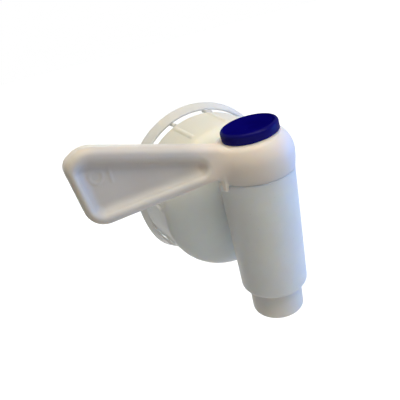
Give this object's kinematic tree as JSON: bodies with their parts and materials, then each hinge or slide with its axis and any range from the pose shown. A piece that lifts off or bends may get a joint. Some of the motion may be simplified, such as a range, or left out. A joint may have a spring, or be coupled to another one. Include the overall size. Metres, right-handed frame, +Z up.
{
  "type": "dispensing tap",
  "caption": "Lever-operated dispensing tap on a threaded cap with a tamper band: an upright barrel and nozzle that pour detergent from a container neck when the side lever is turned.",
  "frame": {"origin": "centre of the neck gasket's outer face, on the screw cap's axis, where the container neck's rim seals", "axes": "+Y along the cap's axis into the container, +Z up along the tap's barrel, the closed lever points to -X"},
  "size_m": [0.093, 0.0633, 0.084],
  "materials": {
    "cap_plastic": "milky white polyethylene, satin",
    "band_plastic": "milky white polyethylene, thin and slightly see-through",
    "gasket_foam": "pale matt sealing washer",
    "body_plastic": "white polyethylene, satin",
    "clip_plastic": "white plastic, satin",
    "seal_rubber": "black rubber",
    "spool_plastic": "white polyethylene, satin",
    "lever_plastic": "white polyethylene, satin",
    "screw_steel": "plain steel",
    "button_plastic": "dark blue, glossy"
  },
  "bodies": {
    "cap": {"screw_cap": "cap_plastic", "tamper_band": "band_plastic", "neck_gasket": "gasket_foam"},
    "tap": {"tap_body": "body_plastic", "inlet_seat": "seal_rubber", "retaining_clip": "clip_plastic", "swivel_oring": "seal_rubber"},
    "valve": {"lever": "lever_plastic", "button": "button_plastic", "lever_screw": "screw_steel", "valve_spool": "spool_plastic", "upper_oring": "seal_rubber", "lower_oring": "seal_rubber"}
  },
  "joints": [
    {"name": "tap_swivel", "type": "hinge", "parent": "cap", "child": "tap", "pos_m": [0, 0, 0], "axis": [0, 1, 0], "continuous": true},
    {"name": "lever_turn", "type": "hinge", "parent": "tap", "child": "valve", "pos_m": [0, -0.0265, 0.0175], "axis": [0, 0, 1], "range_deg": [0, 90]}
  ]
}
